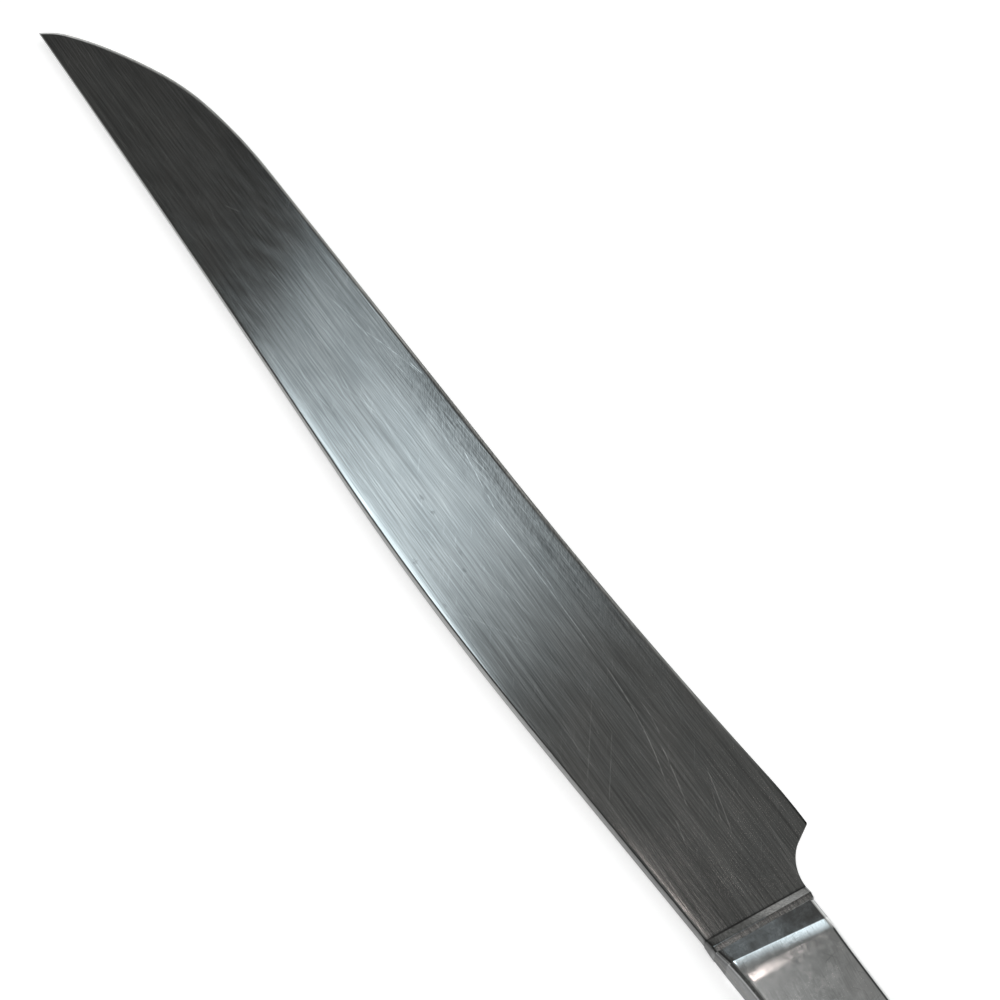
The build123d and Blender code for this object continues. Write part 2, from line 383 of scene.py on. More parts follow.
def tinted(tree, first, second, share):
    """A colour part of the way from one to another."""
    feeds = {0: share}
    for socket, colour in ((6, first), (7, second)):
        feeds[socket] = (*colour, 1) if isinstance(colour, tuple) else colour
    return add_node(tree, "ShaderNodeMix", feeds, data_type="RGBA").outputs[2]


def darkened(tree, colour, tone):
    """A colour multiplied by a tone."""
    feeds = {0: 1.0, 6: colour, 7: tone}
    return add_node(tree, "ShaderNodeMix", feeds, data_type="RGBA", blend_type="MULTIPLY").outputs[2]


def unevenness(tree, shader, height, strength, depth):
    """Slight bumps in a surface, with their depth in millimetres."""
    feeds = {"Height": height, "Strength": strength, "Distance": depth * MM}
    tree.links.new(add_node(tree, "ShaderNodeBump", feeds).outputs[0], shader.inputs["Normal"])


def scratch(tree, place, start, end, bow, width, depth):
    """How much one scratch lightens a place as a painted glint, along a line from start to end with a bow to
    one side, by up to its depth.
    """
    run = Vector((*end, 0)) - Vector((*start, 0))
    along = run.normalized()
    across = Vector((-along.y, along.x, 0))

    def from_start(axis, scale):
        begin = -scale * axis.dot(Vector((*start, 0)))
        return maths(tree, "MULTIPLY_ADD", measured_along(tree, place, axis), scale, begin)

    share, off = from_start(along, 1 / run.length), from_start(across, 1.0)
    arched = maths(tree, "MULTIPLY", share, maths(tree, "SUBTRACT", 1.0, share))
    off = maths(tree, "ABSOLUTE", maths(tree, "MULTIPLY_ADD", arched, -4 * bow, off))
    middle = maths(tree, "ABSOLUTE", maths(tree, "SUBTRACT", share, 0.5))
    line = ramp_between(tree, off, 0.0, width, depth, 0.0)
    return maths(tree, "MULTIPLY", line, ramp_between(tree, middle, 0.35, 0.5, 1.0, 0.0))


blade_steel, tree, shader = new_metal("brushed_blade_steel", (0.37, 0.375, 0.37), 0.11, 0.5)
tangent = add_node(tree, "ShaderNodeTangent", direction_type="UV_MAP", uv_map="grain")
tree.links.new(tangent.outputs[0], shader.inputs["Tangent"])
place = in_millimetres(tree)
# Brushing of several coarsenesses, none quite along the blade, over slow clouds
brushing = (
    # size across, stretch along, turn, least and most tone
    (0.55, 170, 0.5, -0.08, 0.08),
    (0.2, 300, -1.8, -0.15, 0.15),
    (0.17, 260, 1.2, -0.13, 0.13),
    (0.1, 220, -0.4, -0.1, 0.1),
    (7.0, 1.6, 20.0, -0.05, 0.05),
    (2.2, 4.0, -14.0, -0.03, 0.03),
)
tone, furrows = 1.0, []
for size, stretch, turn, least, most in brushing:
    layer = clouds(tree, place, size, stretch=stretch, turn=turn)
    furrows.append(layer)
    tone = maths(tree, "ADD", tone, clouded(tree, layer, least, most))
# Loose fine scratches across the brushing, and the longer ones, all painted lighter as painted glints where
# they catch the light
scratch_ease = 0.14
loose_scratches = (
    # size across, stretch along, turn, share of the noise that shows, and depth, how much its painted glint
    # lightens
    (0.1, 150, 7.0, 0.7, 0.4),
    (0.1, 130, -9.0, 0.71, 0.45),
    (0.1, 90, 34.0, 0.74, 0.4),
)
for size, stretch, turn, keep, depth in loose_scratches:
    layer = clouds(tree, place, size, detail=0.0, stretch=stretch, turn=turn)
    tone = maths(tree, "ADD", tone, ramp_between(tree, layer, keep, keep + scratch_ease, 0.0, depth))
long_scratches = (
    # start, end, bow, half width, and depth, how much its painted glint lightens
    ((78.5, -11.65), (45.8, -11.77), 0.18, 0.135, 0.83),
    ((46.4, -11.78), (22.0, -8.2), 1.0, 0.135, 1.09),
    ((91.1, -14.34), (82.0, -13.05), 0.05, 0.121, 0.96),
    ((81.2, -13.1), (78.2, -12.6), 0.0, 0.121, 0.8),
    ((98.3, -16.61), (86.6, -17.48), 0.03, 0.121, 0.64),
    ((99.9, -15.1), (92.0, -14.5), 0.0, 0.121, 0.45),
    ((81.8, -1.31), (64.7, -2.18), 0.1, 0.162, 0.32),
    ((29.5, -11.55), (18.0, -8.9), 0.15, 0.135, 0.96),
    ((22.9, -15.1), (11.5, -12.0), 0.1, 0.135, 0.83),
    ((19.2, -13.6), (13.8, -11.8), 0.0, 0.121, 0.64),
    ((42.0, -8.1), (27.5, 2.0), 0.0, 0.12, 0.45),
    ((34.8, -6.9), (23.9, 0.55), 0.0, 0.12, 0.45),
    ((36.8, -12.95), (30.3, -12.25), 0.2, 0.135, 0.83),
    ((17.7, -6.5), (13.5, -5.45), 0.0, 0.135, 0.7),
    ((132.2, -11.4), (119.5, -12.95), 0.1, 0.135, 0.64),
    ((112.2, -16.0), (108.5, -16.65), 0.0, 0.135, 0.96),
    ((123.0, -12.6), (108.5, -16.4), 0.25, 0.135, 0.51),
    ((132.8, -16.6), (120.0, -17.0), -0.2, 0.135, 0.58),
    ((143.0, -5.4), (134.3, -6.0), 0.0, 0.135, 0.64),
    ((161.4, -5.7), (158.3, -7.6), 0.0, 0.135, 0.96),
    ((64.0, 2.9), (52.0, -4.6), 0.3, 0.135, 0.32),
    ((118.0, -2.0), (102.0, -6.5), 0.4, 0.135, 0.32),
)
scratch_glints = 0.0
for start, end, bow, width, depth in long_scratches:
    scratch_glints = maths(tree, "ADD", scratch_glints, scratch(tree, place, start, end, bow, width, depth))
upper = add_node(tree, "ShaderNodeSeparateXYZ", {0: place}).outputs[2]
scratch_glints = maths(tree, "MULTIPLY", scratch_glints, maths(tree, "GREATER_THAN", upper, 0.0))
patches = clouds(tree, place, size=1.2, detail=1.0)
patchy = ramp_between(tree, patches, 0.3, 0.6, 0.35, 1.0)
tone = maths(tree, "MULTIPLY_ADD", scratch_glints, patchy, tone)
# Small dark marks, as centre, reach along and across, and depth; the large one by the foot is painted shade
# where the face rises into the collar
marks = (
    ((75.1, 3.3), (0.5, 0.35), 0.3),
    ((74.3, 1.1), (0.35, 0.25), 0.2),
    ((73.3, -3.6), (0.9, 0.2), 0.2),
    ((85.7, -3.7), (0.55, 0.3), 0.35),
    ((82.2, -3.8), (0.4, 0.25), 0.35),
    ((70.0, -2.4), (0.5, 0.2), 0.25),
    ((65.6, 3.4), (0.4, 0.2), 0.25),
    ((78.6, -0.9), (1.6, 0.4), 0.12),
    ((143.5, 2.8), (1.6, 1.2), 0.15),
    ((2.0, -7.0), (6.0, 7.0), 0.12),
)
mark_brink, mark_fray = (0.6, 1.2), 0.6
frayed = clouds(tree, place, size=0.35)
for centre, size, depth in marks:
    scale = Vector((1 / size[0], 1 / size[1], 0))
    to_mark = {"Vector": place, "Location": -scale * Vector((*centre, 0)), "Scale": scale}
    to_mark = add_node(tree, "ShaderNodeMapping", to_mark).outputs[0]
    away = add_node(tree, "ShaderNodeVectorMath", {0: to_mark}, operation="LENGTH").outputs["Value"]
    away = maths(tree, "ADD", away, clouded(tree, frayed, -mark_fray, mark_fray))
    tone = maths(tree, "SUBTRACT", tone, ramp_between(tree, away, *mark_brink, depth, 0.0))
# The strip that the stone and the cutting have dulled, with its own short scratches. Its darker
# colour is partly that wear and partly painted shade for the darker room the rolled edge mirrors
strip_fade, strip_fray, strip_roughness = (0.9, 8.0), 0.9, 0.03
strip_runs = (
    # a span from the foot, and how strong the strip is before and after it
    (30.0, 70.0, 0.35, 1.4),
    (103.0, 122.0, 1.0, 0.25),
)
near_edge = add_node(tree, "ShaderNodeAttribute", attribute_name="from_edge").outputs["Fac"]
fuzzy = clouds(tree, place, size=0.5, detail=3.0, stretch=7, turn=12.0)
near_edge = maths(tree, "ADD", near_edge, clouded(tree, fuzzy, -strip_fray, strip_fray))
worn_and_shaded = ramp_between(tree, near_edge, *strip_fade, 1.0, 0.0)
from_foot = add_node(tree, "ShaderNodeSeparateXYZ", {0: place}).outputs[0]
for begin, end, before, after in strip_runs:
    worn_and_shaded = maths(tree, "MULTIPLY", worn_and_shaded, ramp_between(tree, from_foot, begin, end, before, after))
short_scratches = clouds(tree, place, size=0.16, detail=1.0, stretch=9, turn=25.0)
nibbled = ramp_between(tree, short_scratches, 0.35, 0.65, 0.42, 0.18)
tone = maths(tree, "SUBTRACT", tone, maths(tree, "MULTIPLY", worn_and_shaded, nibbled))
# The edges that were cut and never brushed are rougher, and painted darker as shade, most of all near the
# handle
cut_roughness = 0.2
edge_shade = ramp_between(tree, from_foot, 10.0, 60.0, -0.6, -0.3)
cut_edge = add_node(tree, "ShaderNodeAttribute", attribute_name="cut").outputs["Fac"]
tone = maths(tree, "MULTIPLY", tone, maths(tree, "MULTIPLY_ADD", cut_edge, edge_shade, 1.0))
# Painted shade in the corner where the blade meets its collar, and over the slope of the collar
shade_bands = (
    # middle, inner and outer reach to either side, and the tone left in it
    (0.05, 0.08, 0.22, 0.45),
    (-collar_slope_length / 2, 0.6, 1.2, 0.55),
)
for middle, inner, outer, left in shade_bands:
    off = maths(tree, "ABSOLUTE", maths(tree, "SUBTRACT", from_foot, middle))
    tone = maths(tree, "MULTIPLY", tone, ramp_between(tree, off, inner, outer, left, 1.0))
steel = tinted(tree, (0.363, 0.375, 0.373), (0.378, 0.375, 0.366), furrows[4])
tree.links.new(darkened(tree, steel, tone), shader.inputs["Base Color"])
rough = maths(tree, "MULTIPLY_ADD", cut_edge, cut_roughness, clouded(tree, furrows[5], 0.085, 0.12))
tree.links.new(maths(tree, "MULTIPLY_ADD", worn_and_shaded, strip_roughness, rough), shader.inputs["Roughness"])
height = maths(tree, "ADD", maths(tree, "MULTIPLY", furrows[1], 0.5), furrows[0])
unevenness(tree, shader, height, strength=0.5, depth=0.01)
forged_blade.data.materials.append(blade_steel)
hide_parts("blade")
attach(forged_blade, "root")

# Solder and compound
# The mouth of the handle is filled with solder round the root of the tang, and the handle behind it
# with a grey setting compound. Both are out of sight inside the shells.
solder_metal, tree, shader = new_metal("dull_solder", (0.46, 0.47, 0.48), 0.45)
blotches = clouds(tree, in_millimetres(tree), size=1.1, detail=4.0)
tree.links.new(clouded(tree, blotches, 0.35, 0.6), shader.inputs["Roughness"])
tree.links.new(tinted(tree, (0.38, 0.38, 0.38), (0.52, 0.53, 0.54), blotches), shader.inputs["Base Color"])
unevenness(tree, shader, blotches, strength=0.4, depth=0.1)
compound, tree, shader = new_metal("setting_compound", (0.16, 0.15, 0.14), 0.9)
shader.inputs["Metallic"].default_value = 0.0
grains = clouds(tree, in_millimetres(tree), size=0.55, detail=6.0)
tree.links.new(tinted(tree, (0.1, 0.095, 0.09), (0.24, 0.23, 0.21), grains), shader.inputs["Base Color"])
unevenness(tree, shader, grains, strength=0.6, depth=0.2)
for node, material in (("mouth_solder", solder_metal), ("handle_filler", compound)):
    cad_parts[node].data.materials.clear()
    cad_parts[node].data.materials.append(material)

# Handle shells
# Two half shells pressed from steel sheet and polished. Each has a flat face, a rolled shoulder and
# a crisp crease towards the mouth, then a slope down to the collar.
butt_width, butt_crown, butt_corner, back_draw = 20.5, 1.4, 4.5, math.radians(3.0)
shell_wall, seam_half, handle_edge_round, inner_round, flare_length = 0.6, 0.08, 0.9, 0.3, 10.0
nose_length, nose_slope, crease_skew = 2.95, math.radians(13.5), math.radians(4.5)
shoulder_length, shoulder_drop, crisp_start_share = 4.2, 0.25, 0.55
crisp_power, steepness_power, past_crease_share = 1.25, 1.3, 1.2
mouth_x = handle_length / 2


def arc_centre(start, heading, end):
    """Centre and radius of the circular arc that leaves start along heading and ends at end."""
    chord = np.subtract(end, start)
    lean = math.remainder(math.atan2(chord[1], chord[0]) - heading, 2 * math.pi)
    radius = np.linalg.norm(chord) / 2 / math.sin(lean)
    centre = np.array([start[0] - radius * math.sin(heading), start[1] + radius * math.cos(heading)])
    return centre, abs(radius)


butt_corner_x = butt_crown - handle_length
crown_radius = ((butt_width / 2) ** 2 + butt_crown**2) / 2 / butt_crown
crown_centre = np.array([crown_radius - handle_length, 0])
side_count, end_count, corner_count = 230, 61, 16
crease_rows = np.concatenate([np.linspace(0, 2.9, 16), np.linspace(2.94, 3.26, 9), np.linspace(3.3, 9, 46)])
far_start, skew_fade, plain_end = 9.3, (9, 40), 3


def side_chain(sign, heading):
    """Points and outward normals along one long side, then round half of the butt to its middle."""
    centre, radius = arc_centre((0, sign * neck_width / 2), heading, (butt_corner_x, sign * butt_width / 2))
    away, apart = radius + butt_corner, crown_centre - centre
    span = np.linalg.norm(apart)
    reach = (away**2 - (crown_radius - butt_corner) ** 2 + span**2) / 2 / span
    foot = centre + apart / span * reach
    offset = math.sqrt(away**2 - reach**2)
    across = np.array([-apart[1], apart[0]]) / span
    corner = min((foot + across * offset, foot - across * offset), key=lambda p: p[0])
    start = corner + (centre - corner) / np.linalg.norm(centre - corner) * butt_corner
    # Rows keep to the skew of the crease near the mouth
    q = np.append(crease_rows, np.linspace(far_start, -start[0], side_count - len(crease_rows)))
    hold = np.where(q < nose_length, q / nose_length, 1 - smooth_step(*skew_fade, q))
    x = -q / math.cos(crease_skew) ** (hold > 0) + sign * neck_width / 2 * math.tan(crease_skew) * hold
    x = np.clip(x, start[0], 0)
    x[-1] = start[0]
    y = centre[1] - sign * np.sqrt(radius**2 - (x - centre[0]) ** 2)
    side_points = np.stack([x, y], 1)
    side_normals = (centre - side_points) / radius
    # The last stretch flares out to the mouth
    lip, flare_from = np.array([0, sign * (neck_width / 2 + mouth_flare)]), np.array([-flare_length, 0.0])
    flare_from[1] = centre[1] - sign * math.sqrt(radius**2 - (flare_from[0] - centre[0]) ** 2)
    out = (centre - flare_from) / radius
    flare_centre, flare_radius = arc_centre(flare_from, math.atan2(-out[0] * sign, out[1] * sign), lip)
    flared = x > -flare_length
    flare_depth = np.sqrt(flare_radius**2 - (x[flared] - flare_centre[0]) ** 2)
    side_points[flared, 1] = flare_centre[1] - sign * flare_depth
    side_normals[flared] = (flare_centre - side_points[flared]) / flare_radius
    side_normals[:, 0] *= smooth_step(0, plain_end, q)
    side_normals /= np.linalg.norm(side_normals, axis=1)[:, None]
    begin = math.atan2(*(start - corner)[::-1])
    out = (corner - crown_centre) / np.linalg.norm(corner - crown_centre)
    finish = math.atan2(out[1], out[0])
    turn = begin + math.remainder(finish - begin, 2 * math.pi) * np.linspace(0, 1, corner_count)
    corner_normals = np.stack([np.cos(turn), np.sin(turn)], 1)
    corner_points = corner + butt_corner * corner_normals
    crown_shares = np.linspace(0, 1, (end_count + 1) // 2 - corner_count + 1)[1:]
    fan = finish + math.remainder(math.pi - finish, 2 * math.pi) * crown_shares
    crown_normals = np.stack([np.cos(fan), np.sin(fan)], 1)
    crown_points = crown_centre + crown_radius * crown_normals
    end_points = np.concatenate([corner_points, crown_points])
    return side_points, side_normals, end_points, np.concatenate([corner_normals, crown_normals])


back_points, back_normals, back_butt, back_butt_normals = side_chain(1, math.pi + back_draw)
edge_points, edge_normals, edge_butt, edge_butt_normals = side_chain(-1, math.pi)
butt_points = np.concatenate([back_butt, edge_butt[-2::-1]])
butt_normals = np.concatenate([back_butt_normals, edge_butt_normals[-2::-1]])


def face_height(points):
    """Half thickness of the handle at points of its plan."""
    u = points[..., 0] * math.cos(crease_skew) - points[..., 1] * math.sin(crease_skew)
    rolled = np.clip((u + nose_length + shoulder_length) / shoulder_length, 0, past_crease_share)
    # Polishing has left the shoulder short and steep at the edge side, and long and soft at the back
    steep = np.clip((rolled - crisp_start_share) / (1 - crisp_start_share), 0, None) ** crisp_power
    steepness = np.clip(1 / 2 - points[..., 1] / neck_width, 0, 1) ** steepness_power
    shoulder = mid_z - shoulder_drop * (rolled**2 * (1 - steepness) + steep * steepness)
    nose = mid_z - shoulder_drop - (nose_length + u) * math.tan(nose_slope)
    return np.minimum(shoulder, nose)


corner_angles, butt_start_share = np.radians(np.linspace(0, 90, 10))[1:], 0.55


def shell_skin(inset, rounding):
    """Points of one skin of a shell, as the face's grid and then the rows down its sides."""
    up = back_points - (inset + rounding) * back_normals
    low = edge_points - (inset + rounding) * edge_normals
    butt = butt_points - (inset + rounding) * butt_normals
    along = np.linspace(0, 1, side_count)
    v = np.linspace(0, 1, end_count)[None, :, None]
    reach = smooth_step(butt_start_share, 1.0, along)[:, None, None]
    flat = up[:, None] * (1 - v) + low[:, None] * v
    last = up[-1] * (1 - v) + low[-1] * v
    grid = flat + reach * (butt[None] - last)
    height = face_height(grid) - inset
    face = np.concatenate([grid, height[..., None]], 2)
    loop = np.concatenate([face[:, 0], face[-1, 1:-1], face[::-1, -1]])
    normals = np.concatenate([back_normals, butt_normals[1:-1], edge_normals[::-1]])
    rows = []
    for angle in corner_angles:
        row = loop.copy()
        row[:, :2] += normals * rounding * math.sin(angle)
        row[:, 2] -= rounding * (1 - math.cos(angle))
        rows.append(row)
    under_corner = rows[-1]
    for share in (0.5, 1):
        row = under_corner.copy()
        row[:, 2] += (seam_half - row[:, 2]) * share
        rows.append(row)
    return face.reshape(-1, 3), rows


def skin_indices(start, row_count):
    """Numbers of the points of one skin: its face's grid, and the rows from its border down."""
    grid = start + np.arange(side_count * end_count).reshape(side_count, end_count)
    loop = np.concatenate([grid[:, 0], grid[-1, 1:-1], grid[::-1, -1]])
    rows = [loop]
    begin = start + grid.size
    for _ in range(row_count):
        rows.append(begin + np.arange(len(loop)))
        begin += len(loop)
    return grid, rows


def strip(first, second):
    """Four-sided faces between two rows of points."""
    return [tuple(map(int, q)) for q in zip(first[:-1], first[1:], second[1:], second[:-1])]


outer_face, outer_rows = shell_skin(0, handle_edge_round)
inner_face, inner_rows = shell_skin(shell_wall, inner_round)
shell_points = np.concatenate([outer_face, *outer_rows, inner_face, *inner_rows])
shell_faces, mouths, rims = [], [], []
for start in (0, len(outer_face) + sum(map(len, outer_rows))):
    grid, rows = skin_indices(start, len(outer_rows))
    for i in range(side_count - 1):
        shell_faces += strip(grid[i], grid[i + 1])
    for above, below in zip(rows, rows[1:]):
        shell_faces += strip(above, below)
    mouths.append(np.concatenate([[row[0] for row in rows[:0:-1]], grid[0], [row[-1] for row in rows[1:]]]))
    rims.append(rows[-1])
shell_faces += strip(*mouths) + strip(*rims)

wall_shares = np.append(smooth_step(20, 75, np.degrees(corner_angles)), [1, 1])
outer_wall = np.append(np.zeros(len(outer_face)), np.repeat(wall_shares, len(outer_rows[0])))
shell_wall_share = np.append(outer_wall, np.ones(len(shell_points) - len(outer_wall)))

handle_steel, tree, shader = new_metal("polished_handle_steel", (0.92, 0.92, 0.91), 0.12)
place = in_millimetres(tree)
side = add_node(tree, "ShaderNodeAttribute", attribute_name="side_wall").outputs["Fac"]
mottle_gain, side_shade, side_roughness = 0.22, 0.78, 0.25
smudge, film = clouds(tree, place, size=4.5, detail=3.0), clouds(tree, place, size=9.0)
haze = clouds(tree, place, size=1.6, detail=3.0, stretch=1.5, turn=30.0)
rubbed = clouds(tree, place, size=0.14, stretch=60, turn=4.0)
tone = clouded(tree, smudge, 0.93, 1.04)
tone = maths(tree, "ADD", tone, clouded(tree, rubbed, -0.05, 0.05))
tone = maths(tree, "ADD", tone, ramp_between(tree, haze, 0.35, 0.7, -0.05, 0.05))
mottle = ramp_between(tree, clouds(tree, place, size=0.9, detail=4.0), 0.5, 0.66)
mottle = maths(tree, "MULTIPLY", mottle, ramp_between(tree, film, 0.4, 0.6))
tone = maths(tree, "MULTIPLY_ADD", mottle, mottle_gain, tone)
# Fine scratches every way
fine_depth, fine_ease = 0.16, 0.12
fine_scratches = (
    # size across, stretch along, turn, share of the noise that shows
    (0.1, 60, 12.0, 0.67),
    (0.09, 50, -40.0, 0.69),
    (0.09, 40, 75.0, 0.7),
)
for size, stretch, turn, keep in fine_scratches:
    layer = clouds(tree, place, size, detail=0.0, stretch=stretch, turn=turn)
    tone = maths(tree, "SUBTRACT", tone, ramp_between(tree, layer, keep, keep + fine_ease, 0.0, fine_depth))
# The sides are duller than the faces, and painted darker as shade
tone = maths(tree, "MULTIPLY", tone, maths(tree, "MULTIPLY_ADD", side, -side_shade, 1.0))
# The short nose ahead of the crease is painted darker than the face behind it, as painted shade
nose_shade, crease_blur = 0.56, (-0.1, 0.2)
across_crease = measured_along(tree, place, (math.cos(crease_skew), -math.sin(crease_skew), 0))
crease_at = (mouth_x - foot_x) * math.cos(crease_skew) + back_y * math.sin(crease_skew) - nose_length
blur_from, blur_to = (crease_at + reach for reach in crease_blur)
nose_shade_tone = ramp_between(tree, across_crease, blur_from, blur_to, 1.0, nose_shade)
tone = maths(tree, "MULTIPLY", tone, nose_shade_tone)
steel = tinted(tree, (0.93, 0.93, 0.93), (0.85, 0.885, 0.885), film)
tree.links.new(darkened(tree, steel, tone), shader.inputs["Base Color"])
rough = ramp_between(tree, smudge, 0.35, 0.7, 0.045, 0.085)
rough = maths(tree, "ADD", rough, ramp_between(tree, haze, 0.4, 0.7, 0.0, 0.035))
tree.links.new(maths(tree, "MULTIPLY_ADD", side, side_roughness, rough), shader.inputs["Roughness"])
swell = clouds(tree, place, size=6.0, detail=1.0)
ripple = maths(tree, "ADD", swell, maths(tree, "MULTIPLY", smudge, 0.1))
unevenness(tree, shader, ripple, strength=0.3, depth=0.08)
shells = (("upper_shell", "handle_shell_upper", 1), ("lower_shell", "handle_shell_lower", -1))
for name, node, sign in shells:
    placed = shell_points * (1, 1, sign) + (mouth_x, 0, mid_z)
    shell = make_piece(name, placed, shell_faces)
    lay_values(shell, "side_wall", shell_wall_share)
    shell.data.materials.append(handle_steel)
    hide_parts(node)
    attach(shell, "root")

# Seam braze
# A thin line of braze, run in between the rims of the two shells and filed flush. It follows the
# whole rim from one side of the mouth, round the butt, to the other side.
rim_line = np.concatenate([back_points, butt_points[1:-1], edge_points[::-1]])
rim_normals = np.concatenate([back_normals, butt_normals[1:-1], edge_normals[::-1]])
rim_line = rim_line - rim_normals * shell_wall / 2 + (mouth_x, 0)
rim_curve = bpy.data.curves.new("rim_path", "CURVE")
rim_curve.dimensions = "3D"
rim_spline = rim_curve.splines.new("POLY")
rim_spline.points.add(len(rim_line) - 1)
for point_on, (x, y) in zip(rim_spline.points, rim_line):
    point_on.co = (x * MM, y * MM, mid_z * MM, 1)
rim_path = bpy.data.objects.new("rim_path", rim_curve)
bpy.context.scene.collection.objects.link(rim_path)
braze_metal, tree, shader = new_metal("dull_braze", (0.3, 0.29, 0.26), 0.4)
specked = clouds(tree, in_millimetres(tree), size=0.5, detail=3.0)
tree.links.new(clouded(tree, specked, 0.32, 0.55), shader.inputs["Roughness"])
tree.links.new(tinted(tree, (0.22, 0.21, 0.19), (0.36, 0.34, 0.3), specked), shader.inputs["Base Color"])
braze_run = bpy.data.node_groups.new("braze_run", "GeometryNodeTree")
braze_run.interface.new_socket("Geometry", in_out="INPUT", socket_type="NodeSocketGeometry")
braze_run.interface.new_socket("Geometry", in_out="OUTPUT", socket_type="NodeSocketGeometry")
sockets = {}
for label in ("Wall width", "Seam thickness"):
    sockets[label] = braze_run.interface.new_socket(label, in_out="INPUT", socket_type="NodeSocketFloat")
entry, leave = braze_run.nodes.new("NodeGroupInput"), braze_run.nodes.new("NodeGroupOutput")
path = {"Curve": entry.outputs["Geometry"]}
levelled = add_node(braze_run, "GeometryNodeSetCurveNormal", path, mode="Z_UP")
section = {"Width": entry.outputs["Wall width"], "Height": entry.outputs["Seam thickness"]}
section = add_node(braze_run, "GeometryNodeCurvePrimitiveQuadrilateral", section)
swept = {"Curve": levelled.outputs[0], "Profile Curve": section.outputs[0], "Fill Caps": True}
swept = add_node(braze_run, "GeometryNodeCurveToMesh", swept)
realized = add_node(braze_run, "GeometryNodeRealizeInstances", {"Geometry": swept.outputs[0]})
finished = {"Geometry": realized.outputs[0], "Material": braze_metal}
finished = add_node(braze_run, "GeometryNodeSetMaterial", finished)
braze_run.links.new(finished.outputs[0], leave.inputs["Geometry"])
running = rim_path.modifiers.new("braze_run", "NODES")
running.node_group = braze_run
running[sockets["Wall width"].identifier] = shell_wall * MM
running[sockets["Seam thickness"].identifier] = 2 * seam_half * MM
evaluated = rim_path.evaluated_get(bpy.context.evaluated_depsgraph_get())
braze_mesh = bpy.data.meshes.new_from_object(evaluated)
bpy.data.objects.remove(rim_path)
braze_line = bpy.data.objects.new("braze_line", braze_mesh)
bpy.context.scene.collection.objects.link(braze_line)
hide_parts("seam_braze")
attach(braze_line, "root")

# Floor
# A plain pale table top, which isn't part of the knife.
floor_half, floor_gap, floor_lift = 15.0, 5e-5, 0.54
floor_turns = ((-1, -1), (1, -1), (1, 1), (-1, 1))
floor_corners = [(x * floor_half, y * floor_half, -floor_gap) for x, y in floor_turns]
floor_mesh = bpy.data.meshes.new("floor")
floor_mesh.from_pydata(floor_corners, [], [(0, 1, 2, 3)])
floor = bpy.data.objects.new("floor", floor_mesh)
bpy.context.scene.collection.objects.link(floor)
floor_paint = bpy.data.materials.new("pale_floor")
floor_paint.use_nodes = True
tree = floor_paint.node_tree
shader = tree.nodes["Principled BSDF"]
shader.inputs["Base Color"].default_value = (0.86, 0.86, 0.86, 1)
shader.inputs["Roughness"].default_value = 0.9
shader.inputs["Specular IOR Level"].default_value = 0.0
path = add_node(tree, "ShaderNodeLightPath")
seen = maths(tree, "ADD", path.outputs["Is Camera Ray"], path.outputs["Is Glossy Ray"])
seen = maths(tree, "ADD", seen, path.outputs["Is Transmission Ray"], clamp=True)
tree.links.new(maths(tree, "MULTIPLY", seen, floor_lift), shader.inputs["Emission Strength"])
shader.inputs["Emission Color"].default_value = (1, 1, 1, 1)
floor_mesh.materials.append(floor_paint)

# Light
# A big soft box over the handle end lights the table and the knife. What the steel mirrors is drawn
# round it in the world: a dim ceiling, pale walls low down, and windows with soft borders in front.
world = bpy.data.worlds.new("studio")
bpy.context.scene.world = world
world.use_nodes = True
tree = world.node_tree
sky = add_node(tree, "ShaderNodeTexCoord").outputs["Generated"]


def seen_towards(axis):
    """How far the direction of view goes along an axis."""
    return measured_along(tree, sky, axis)


def window_axes(facing, roll):
    """Places on a far plane square to facing: along it towards the point of the knife, and across it."""
    facing = Vector(facing).normalized()
    along = (Vector((1, 0, 0)) - facing * facing.x).normalized()
    along.rotate(Matrix.Rotation(math.radians(roll), 3, facing))
    across = facing.cross(along)
    ahead = maths(tree, "MAXIMUM", seen_towards(facing), 0.05)
    before = maths(tree, "GREATER_THAN", seen_towards(facing), 0.05)
    u = maths(tree, "DIVIDE", seen_towards(along), ahead)
    w = maths(tree, "DIVIDE", seen_towards(across), ahead)
    return u, w, before


def glow(tree, share, colour, strength=1.0):
    """Light of a colour and strength, given off by some share."""
    return tinted(tree, (0, 0, 0), tuple(part * strength for part in colour), share)


def with_light(tree, first, second):
    """Two lights added up."""
    feeds = {0: 1.0, 6: first, 7: second}
    return add_node(tree, "ShaderNodeMix", feeds, data_type="RGBA", blend_type="ADD").outputs[2]


def pane(facing, roll, rise, fall, start, stop):
    """Share of light from a window, which comes up, goes down, and begins and ends across at these places."""
    u, w, share = window_axes(facing, roll)
    for place, begins, ends in ((u, rise, fall), (w, start, stop)):
        share = maths(tree, "MULTIPLY", share, ramp_between(tree, place, *begins))
        share = maths(tree, "MULTIPLY", share, ramp_between(tree, place, *ends, 1.0, 0.0))
    return share


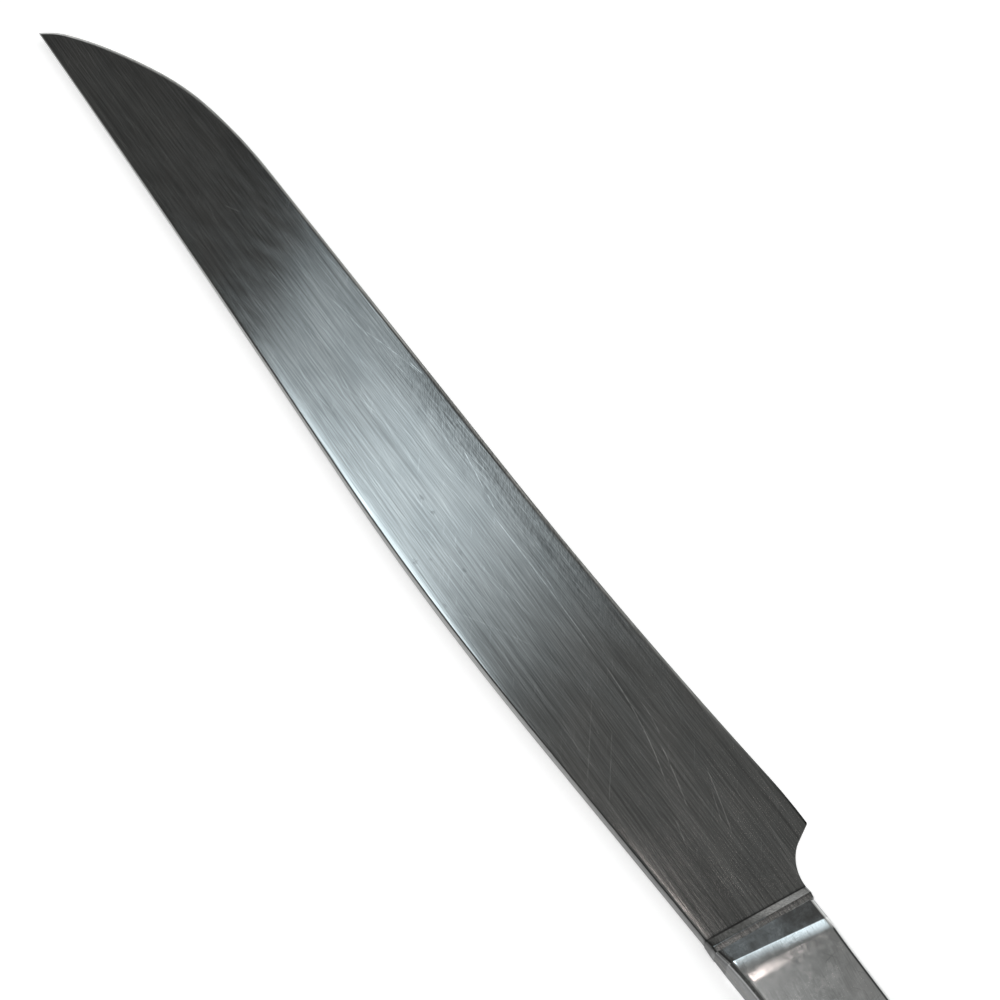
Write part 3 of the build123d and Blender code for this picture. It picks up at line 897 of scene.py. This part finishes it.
facing, blade_roll, cool = (0.565, -0.29, 0.7725), 6, (0.87, 1.0, 1.07)
panes = (
    # roll, rise, fall, start and stop across, colour, strength, and a rise square to the blade
    (26, (-0.3, -0.2), (0.079, 0.097), (-0.165, -0.148), (0.2, 0.3), cool, 0.65, -0.15, -0.035),
    (8, (-0.09, -0.01), (0.005, 0.07), (-0.16, -0.02), (0.2, 0.3), cool, 0.52, -1, -0.9),
    (5, (-0.11, -0.05), (0.06, 0.12), (-0.015, 0.06), (0.2, 0.26), cool, 1.7, -1, -0.9),
    (0, (0.045, 0.075), (0.1, 0.12), (-0.2, -0.15), (-0.105, -0.08), cool, 0.28, -1, -0.9),
    (0, (-0.29, -0.27), (-0.24, -0.21), (0.009, 0.015), (0.017, 0.023), (1.0, 0.86, 0.82), 5.0, -1, -0.9),
    (0, (-0.6, -0.5), (-0.31, -0.2), (-0.015, 0.03), (0.15, 0.25), (1, 1, 1), 0.17, -1, -0.9),
)
height, ahead, beside = (seen_towards(axis) for axis in ((0, 0, 1), (1, 0, 0), (0, 1, 0)))
ceiling = ramp_between(tree, ahead, 0.42, 0.66, 0.178, 0.1)
ceiling = maths(tree, "ADD", ceiling, ramp_between(tree, ahead, 0.255, 0.295, 0.03, 0.0))
ceiling = maths(tree, "MULTIPLY", ceiling, ramp_between(tree, beside, 0.1, 0.35, 1.0, 0.35))
ceiling = maths(tree, "MULTIPLY", ceiling, ramp_between(tree, beside, -0.7, -0.5, 0.2, 1.0))
walls = ramp_between(tree, height, 0.42, 0.57, 0.36, 0.0)
walls = maths(tree, "MULTIPLY", walls, ramp_between(tree, ahead, 0.38, 0.5))
bench = ramp_between(tree, beside, -0.68, -0.5, 0.4, 0.0)
bench = maths(tree, "MULTIPLY", bench, ramp_between(tree, ahead, 0.33, 0.5))
backdrop = ramp_between(tree, height, 0.08, 0.3, 0.6, 0.0)
backdrop = maths(tree, "ADD", backdrop, ramp_between(tree, ahead, -0.2, 0.1, 0.28, 0.0))
total = glow(tree, ceiling, (1, 1, 0.975))
for share, colour in ((walls, (1, 1, 0.97)), (bench, (1, 1, 0.97)), (backdrop, (1, 1, 1))):
    total = with_light(tree, total, glow(tree, share, colour))
square_on = window_axes(facing, blade_roll)[0]
for roll, rise, fall, start, stop, colour, strength, dim, full in panes:
    share = pane(facing, roll, rise, fall, start, stop)
    share = maths(tree, "MULTIPLY", share, ramp_between(tree, square_on, dim, full))
    total = with_light(tree, total, glow(tree, share, colour, strength))
background = tree.nodes["Background"]
tree.links.new(total, background.inputs["Color"])
background.inputs["Strength"].default_value = 1.0

soft_box = bpy.data.lights.new("soft_box", "AREA")
soft_box.shape, soft_box.size, soft_box.energy = "SQUARE", 4.4, 52
soft_box_holder = bpy.data.objects.new("soft_box", soft_box)
soft_box_holder.location = (-1.6, 0, 2.2)
soft_box_holder.rotation_mode = "QUATERNION"
soft_box_holder.rotation_quaternion = Vector(soft_box_holder.location).to_track_quat("Z", "Y")
# It is there to light the floor and the knife, not to be mirrored in the steel
soft_box_holder.visible_glossy = False
bpy.context.scene.collection.objects.link(soft_box_holder)

# Camera
# It looks along the knife from above the handle, as the photograph was taken.
camera_data = bpy.data.cameras.new("camera")
camera_data.lens, camera_data.sensor_width = 72, 36
camera_data.clip_start, camera_data.clip_end = 0.01, 100
camera = bpy.data.objects.new("camera", camera_data)
right, up = Vector((-0.50759, -0.86160, 0)), Vector((0.67895, -0.39999, 0.61567))
look = Matrix((right, up, right.cross(up))).transposed().to_4x4()
camera.matrix_world = Matrix.Translation((-0.02678, 0.09202, 0.2512)) @ look
bpy.context.scene.collection.objects.link(camera)
bpy.context.scene.camera = camera
bpy.context.scene.view_settings.view_transform = "Standard"
